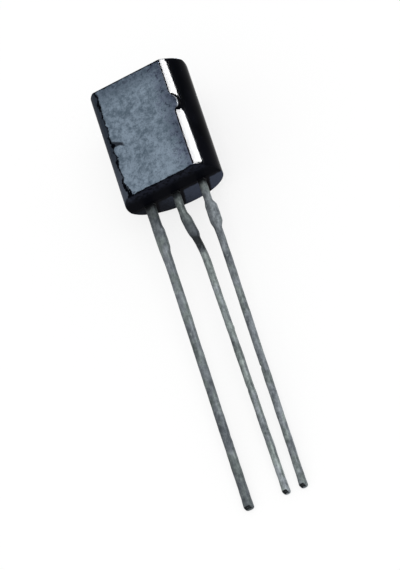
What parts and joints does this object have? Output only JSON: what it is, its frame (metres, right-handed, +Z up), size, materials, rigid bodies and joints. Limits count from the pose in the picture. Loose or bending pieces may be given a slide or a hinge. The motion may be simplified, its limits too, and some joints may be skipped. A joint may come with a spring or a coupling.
{
  "type": "TO-92 transistor",
  "caption": "Small-signal transistor: black D-shaped moulded body with a pale matt flat, on straight tinned leads, the middle one bent aside.",
  "frame": {"origin": "on the surface that the part lies on, under the middle of its whole length and between its sides", "axes": "+Z up, away from that surface; the marked flat faces up; the leads run towards -Y and the top end of the body points to +Y; X runs across the leads"},
  "size_m": [0.0044, 0.0198, 0.0042],
  "materials": {
    "moulding": "black moulding compound: glossy round side and ends, pale blue-grey matt flat",
    "tinned_lead": "dull hot-dipped tin, uneven",
    "silicon": "polished silicon",
    "die_solder": "solder film",
    "bond_wire": "gold wire"
  },
  "bodies": {
    "root": {"moulded_body": "moulding", "emitter_lead": "tinned_lead", "collector_lead": "tinned_lead", "base_lead": "tinned_lead", "silicon_die": "silicon", "die_attach": "die_solder", "emitter_bond_wire": "bond_wire", "base_bond_wire": "bond_wire"}
  },
  "joints": []
}
